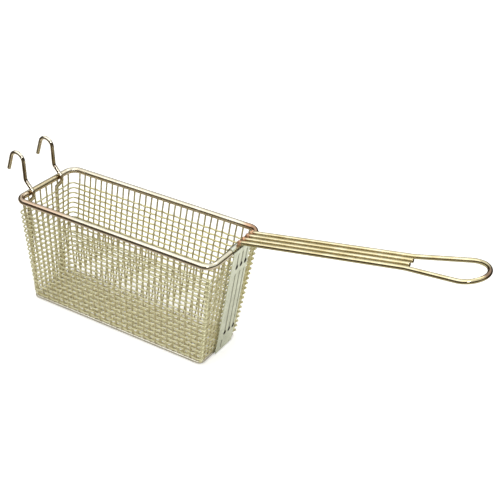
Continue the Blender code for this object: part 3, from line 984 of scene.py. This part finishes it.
class PlateOutline:
    """Side view of the sheet's middle: a bend round the rim, a straight wall and a bend round the
    bottom frame."""

    def __init__(self, basket, plate, rods):
        self.sizes = plate
        self.rim_centre = Vector((basket.rim_half_length, 0.0))
        self.rim_bend = basket.rim_radius + rods.seat + plate.sheet / 2
        self.frame_centre = Vector((basket.frame_front, -basket.depth))
        self.frame_bend = basket.frame_radius + plate.tail_gap + plate.sheet / 2
        self.mesh_face = rods.mesh_half + rods.seat
        run = self.frame_centre - self.rim_centre
        self.run_length = run.length
        slope = math.atan2(-run.x, -run.y)
        self.wall_angle = -slope - math.asin((self.rim_bend - self.frame_bend) / run.length)
        self.top = self.rim_centre + self.rim_bend * facing(self.wall_angle)
        self.bottom = self.frame_centre + self.frame_bend * facing(self.wall_angle)
        self.wall_length = (self.bottom - self.top).length

    def rows(self):
        """Rows of the sheet as (place, distance down the wall, facing angle), from fold to tail."""
        rows = []
        fold_turn = self.wall_angle - self.sizes.hook_angle
        for step in range(PLATE_FOLD_STEPS):
            turn = self.sizes.hook_angle + fold_turn * step / PLATE_FOLD_STEPS
            rows.append((self.rim_centre + self.rim_bend * facing(turn), 0.0, turn))
        for step in range(PLATE_WALL_STEPS + 1):
            down = self.wall_length * step / PLATE_WALL_STEPS
            rows.append((self.top.lerp(self.bottom, step / PLATE_WALL_STEPS), down, self.wall_angle))
        tail_turn = self.sizes.tail_angle - self.wall_angle
        for step in range(1, PLATE_TAIL_STEPS + 1):
            turn = self.wall_angle + tail_turn * step / PLATE_TAIL_STEPS
            rows.append((self.frame_centre + self.frame_bend * facing(turn), self.wall_length, turn))
        return rows


def groove_y(plate, index, down):
    """Middle of a long groove across the basket, at a distance down the wall."""
    return plate.groove_centre + index * plate.groove_pitch + plate.groove_lean * down


def tail_y(plate):
    """The short tail groove lies a little nearer than the nearest long one."""
    return plate.groove_centre - 1.2 * plate.groove_pitch


def groove_share(plate, down):
    """1 inside the grooves' spans, falling smoothly to 0 over the run-out."""
    best = 0.0
    for start, end in (plate.upper_span, plate.lower_span):
        inner = min(down - start, end - down) / plate.run_out
        best = max(best, min(max(inner, 0.0), 1.0))
    return best * best * (3 - 2 * best)


def plate_sink(outline, y, down):
    """How far the sheet is pressed back at a place, by the long grooves, which have a flat floor,
    and by the shallower and round tail groove."""
    plate = outline.sizes
    tail_half = plate.groove_width * 0.6
    tail_depth = 0.5
    flatness = 1.25
    stand_off = outline.rim_bend + (outline.frame_bend - outline.rim_bend) * down / outline.run_length
    deepest = (stand_off - plate.sheet / 2 - outline.mesh_face) * plate.press
    sink = 0.0
    for index in (-1, 0, 1):
        across = abs(y - groove_y(plate, index, down)) / (plate.groove_width / 2)
        if across < 1:
            profile = (1 + math.cos(math.pi * across)) / 2
            sink = max(sink, deepest * groove_share(plate, down) * min(profile * flatness, 1.0))
    start, end = plate.tail_span
    along = min(down - start, end - down) / plate.run_out
    across = abs(y - tail_y(plate)) / tail_half
    if along > 0 and across < 1:
        sink = max(sink, deepest * tail_depth * min(along, 1.0) * (1 + math.cos(math.pi * across)) / 2)
    return sink


def plate_waviness(y, down):
    """Slight unevenness of the sheet, with its waves per metre across and down."""
    across_waves, down_waves, seed = 60, 40, 3.0
    middle, height = 0.2, 0.00012
    return (noise.noise(Vector((y * across_waves, down * down_waves, seed))) - middle) * height


def plate_mesh(basket, outline):
    """The sheet's middle surface, as wide as the solid plate."""
    low, high = map(Vector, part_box("front_plate"))
    y_low, y_high = low.y - basket.centre.y, high.y - basket.centre.y
    rows = outline.rows()
    last_row = len(rows) - 1
    shape = bmesh.new()
    made = bmesh.ops.create_grid(shape, x_segments=PLATE_COLUMNS, y_segments=last_row, size=1.0)
    for vertex in made["verts"]:
        column = round((vertex.co.x + 1) / 2 * PLATE_COLUMNS)
        place, down, turn = rows[round((vertex.co.y + 1) / 2 * last_row)]
        y = y_low + (y_high - y_low) * column / PLATE_COLUMNS
        sink = plate_sink(outline, y, down) + plate_waviness(y, down)
        vertex.co = basket.at(place.x - math.cos(turn) * sink, y, place.y - math.sin(turn) * sink)
    return smooth_mesh("pressed_front_plate", shape)


def plate_finish(basket, outline, looks):
    """Satin sheet with a burn at the foot of each groove and painted shade along all of them."""
    plate = outline.sizes
    marks = []
    for span in (plate.upper_span, plate.lower_span):
        down = span[1] - plate.run_out * 0.8
        spot = outline.top.lerp(outline.bottom, down / outline.wall_length)
        marks += [basket.at(spot.x, groove_y(plate, index, down), spot.y) for index in (-1, 0, 1)]
    top_z = basket.centre.z
    upper, lower, tail = ((top_z - start, top_z - end)
                          for start, end in (plate.upper_span, plate.lower_span, plate.tail_span))
    long_half, tail_half = 0.0015, 0.0018
    grooves = []
    for index in (-1, 0, 1):
        grooves.append((groove_y(plate, index, 0.0), plate.groove_lean, top_z, long_half, [upper, lower]))
    grooves.append((tail_y(plate), 0.0, top_z, tail_half, [tail]))
    return pressed_steel(looks, marks, plate.mark_radius, grooves)


def build_plate(scene):
    """Pressed front plate: folded over the rim, grooved down the wall and round the frame."""
    basket = Basket(scene.basket_mesh)
    outline = PlateOutline(basket, scene.basket_plate, scene.basket_rods)
    finish = plate_finish(basket, outline, scene.basket_looks)
    piece = place_piece("pressed_front_plate", plate_mesh(basket, outline), finish,
                        ["front_plate"])
    sheet = piece.modifiers.new("sheet", "SOLIDIFY")
    sheet.thickness = scene.basket_plate.sheet
    sheet.offset = 0.0
    edge = piece.modifiers.new("edge", "BEVEL")
    edge.width = scene.basket_plate.edge_radius
    edge.segments = 2
    edge.limit_method = "ANGLE"
    edge.angle_limit = math.radians(60)


def lumpy_bead(shape, centre, radii, seed):
    """Adds one rounded lump of weld metal, uneven like a real one."""
    unevenness, lumps = 0.22, 1.7
    made = bmesh.ops.create_icosphere(shape, subdivisions=4, radius=1.0)
    for vertex in made["verts"]:
        swell = 1 + unevenness * noise.noise(vertex.co * lumps + Vector((seed, seed * 2.0, 0.0)))
        vertex.co = centre + Vector(one * size * swell for one, size in zip(vertex.co, radii))


def build_brazing(scene):
    """Brazing at the start of the handle: a bead round each rod and one below each pair of rods."""
    sizes = scene.basket_handle
    radius = scene.basket_rods.rod_radius
    place = handle_places(scene)
    shape = bmesh.new()
    rod_bead = (radius * 1.25, radius * 1.3, radius * 1.15)
    low_bead = (radius * 0.8, sizes.pitch * 0.55, radius * 0.55)
    for index in range(4):
        spot = place(sizes.rod_start + 0.0006, (index - 1.5) * sizes.pitch)
        spot.z += radius * 0.05
        lumpy_bead(shape, spot, rod_bead, seed=index * 3.1)
    for index in range(3):
        spot = place(sizes.rod_start + 0.0008, (index - 1.0) * sizes.pitch)
        spot.z -= radius
        lumpy_bead(shape, spot, low_bead, seed=20 + index * 2.3)
    finish = brazing_metal(scene.basket_looks)
    place_piece("handle_brazing", smooth_mesh("handle_brazing", shape), finish)


def add_floor(scene, settings):
    """White paper under the basket, which metal mirrors as lit near the basket and dark beyond."""
    shape = bmesh.new()
    bmesh.ops.create_grid(shape, x_segments=4, y_segments=4, size=settings.floor_size / 2)
    data = smooth_mesh("floor", shape)
    floor = bpy.data.objects.new("floor", data)
    floor.location.z = -FLOOR_DROP
    scene.collection.objects.link(floor)
    material, shader, place = new_material("floor_paper")
    data.materials.append(material)
    in_metal = place.node("ShaderNodeLightPath", output="Is Glossy Ray")
    seen = place.node("ShaderNodeLightPath", output="Is Camera Ray")
    oval = place * (0.25, 1.0, 1.0)
    away = oval.distance((0.0, 0.06, 0.0)).ramp(0.20, 0.38)
    shine = away.mix(settings.near_shine, settings.far_shine)
    place.feed(shader.inputs["Base Color"], in_metal.mix(settings.paper, shine))
    place.feed(shader.inputs["Emission Color"], seen.mix((0.0, 0.0, 0.0), (1.0, 1.0, 1.0)))
    shader.inputs["Emission Strength"].default_value = 0.42
    shader.inputs["Roughness"].default_value = 0.9
    shader.inputs["Specular IOR Level"].default_value = 0.0


def set_world(scene, settings):
    """Bright overhead and a little behind the basket, dark near the horizon, white for the camera."""
    world = bpy.data.worlds.new("studio")
    world.use_nodes = True
    scene.world = world
    background = world.node_tree.nodes["Background"]
    start = Value(world.node_tree, background.outputs[0])
    towards = start.node("ShaderNodeTexCoord", output="Generated")
    up = towards.axis("Z") * 0.94 + towards.axis("Y") * 0.1
    sky = up.ramp(0.33, 0.53).mix(settings.low_sky, settings.high_sky)
    seen = start.node("ShaderNodeLightPath", output="Is Camera Ray")
    start.feed(background.inputs["Color"], seen.mix(sky, (1.0, 1.0, 1.0)))
    background.inputs["Strength"].default_value = 1.0


def add_light(scene, name, place, size, watts, tone=(1.0, 1.0, 1.0)):
    """A rectangular light of the given width and height that shines at the basket."""
    data = bpy.data.lights.new(name, "AREA")
    data.shape = "RECTANGLE"
    data.size, data.size_y = size
    data.energy = watts
    data.color = tone
    light = bpy.data.objects.new(name, data)
    light.location = place
    light.rotation_euler = (Vector(place) - LIGHT_TARGET).to_track_quat("Z", "Y").to_euler()
    scene.collection.objects.link(light)


def add_camera(scene, settings):
    """The photo's camera."""
    level = math.cos(settings.elevation)
    forward = Vector((-math.sin(settings.azimuth) * level, math.cos(settings.azimuth) * level,
                      -math.sin(settings.elevation)))
    level_right = forward.cross(Vector((0.0, 0.0, 1.0))).normalized()
    level_up = level_right.cross(forward)
    right = level_right * math.cos(settings.roll) + level_up * math.sin(settings.roll)
    up = level_up * math.cos(settings.roll) - level_right * math.sin(settings.roll)
    data = bpy.data.cameras.new("photo_camera")
    data.lens = settings.lens
    data.sensor_width = CAMERA_FRAME
    camera = bpy.data.objects.new("photo_camera", data)
    turned = Matrix((right, up, -forward)).transposed().to_4x4()
    place = Basket(scene.basket_mesh).at(*settings.camera_place)
    camera.matrix_world = Matrix.Translation(place) @ turned
    scene.collection.objects.link(camera)
    scene.camera = camera


def build_stage(scene):
    """White floor, soft daylight from above with dark surroundings, and the photo's camera."""
    settings = scene.basket_stage
    add_floor(scene, settings)
    set_world(scene, settings)
    add_light(scene, "key_light", place=(-0.5, -0.9, 1.9), size=(2.6, 2.2), watts=settings.key_power,
              tone=settings.key_colour)
    add_light(scene, "back_light", place=(0.2, 1.1, 1.9), size=(0.9, 0.4), watts=settings.back_power)
    add_light(scene, "sparkle_light", place=(0.85, -1.2, 1.05), size=(0.3, 0.3),
              watts=settings.sparkle_power)
    add_camera(scene, settings)
    scene.view_settings.view_transform = "Standard"


class BASKET_OT_stage(bpy.types.Operator):
    """Build the floor, lights, surroundings and camera"""
    bl_idname = "basket.stage"
    bl_label = "Stage"
    bl_options = {"REGISTER", "UNDO"}

    def execute(self, context):
        build_stage(context.scene)
        return {"FINISHED"}


class BASKET_OT_rods(bpy.types.Operator):
    """Build the rim rod and the bottom frame rod"""
    bl_idname = "basket.rods"
    bl_label = "Rim and frame"
    bl_options = {"REGISTER", "UNDO"}

    def execute(self, context):
        build_rim(context.scene)
        build_frame(context.scene)
        return {"FINISHED"}


class BASKET_OT_hooks(bpy.types.Operator):
    """Build both hook rods"""
    bl_idname = "basket.hooks"
    bl_label = "Hooks"
    bl_options = {"REGISTER", "UNDO"}

    def execute(self, context):
        build_hooks(context.scene)
        return {"FINISHED"}


class BASKET_OT_handle(bpy.types.Operator):
    """Build the handle's rods"""
    bl_idname = "basket.handle"
    bl_label = "Handle"
    bl_options = {"REGISTER", "UNDO"}

    def execute(self, context):
        build_handle(context.scene)
        return {"FINISHED"}


class BASKET_OT_mesh(bpy.types.Operator):
    """Weave the wire cloth and lace its front corners"""
    bl_idname = "basket.mesh"
    bl_label = "Woven mesh"
    bl_options = {"REGISTER", "UNDO"}

    def execute(self, context):
        build_cloth(context.scene)
        return {"FINISHED"}


class BASKET_OT_plate(bpy.types.Operator):
    """Build the pressed front plate"""
    bl_idname = "basket.plate"
    bl_label = "Front plate"
    bl_options = {"REGISTER", "UNDO"}

    def execute(self, context):
        build_plate(context.scene)
        return {"FINISHED"}


class BASKET_OT_brazing(bpy.types.Operator):
    """Build the brazing at the handle"""
    bl_idname = "basket.brazing"
    bl_label = "Brazing"
    bl_options = {"REGISTER", "UNDO"}

    def execute(self, context):
        build_brazing(context.scene)
        return {"FINISHED"}


GROUPS = {"basket_mesh": MeshSizes, "basket_rods": RodSizes, "basket_hook": HookSizes,
          "basket_handle": HandleSizes, "basket_plate": PlateSizes, "basket_stage": StageSettings,
          "basket_looks": FinishLooks}
OPERATORS = (BASKET_OT_stage, BASKET_OT_rods, BASKET_OT_hooks, BASKET_OT_handle, BASKET_OT_mesh,
             BASKET_OT_plate, BASKET_OT_brazing)


class BASKET_PT_sidebar(bpy.types.Panel):
    """Sizes, colours and build buttons"""
    bl_idname = "BASKET_PT_sidebar"
    bl_label = "Fryer basket"
    bl_space_type = "VIEW_3D"
    bl_region_type = "UI"
    bl_category = "Basket"

    def draw(self, context):
        for operator in OPERATORS:
            self.layout.operator(operator.bl_idname)
        for name in GROUPS:
            box = self.layout.box()
            box.label(text=name.replace("_", " ").capitalize())
            settings = getattr(context.scene, name)
            for identifier in settings.bl_rna.properties.keys():
                if identifier not in {"rna_type", "name"}:
                    box.prop(settings, identifier)


def register():
    """Registers the property groups, the operators and the panel."""
    for name, group in GROUPS.items():
        bpy.utils.register_class(group)
        setattr(bpy.types.Scene, name, PointerProperty(type=group))
    for cls in (*OPERATORS, BASKET_PT_sidebar):
        bpy.utils.register_class(cls)


def unregister():
    """Takes back what register did, in the opposite order."""
    for cls in reversed((*OPERATORS, BASKET_PT_sidebar)):
        bpy.utils.unregister_class(cls)
    for name, group in reversed(GROUPS.items()):
        delattr(bpy.types.Scene, name)
        bpy.utils.unregister_class(group)


def main():
    """Builds the stage and every piece."""
    register()
    bpy.ops.basket.stage()
    bpy.ops.basket.rods()
    bpy.ops.basket.hooks()
    bpy.ops.basket.handle()
    bpy.ops.basket.mesh()
    bpy.ops.basket.plate()
    bpy.ops.basket.brazing()


if __name__ == "__main__":
    main()
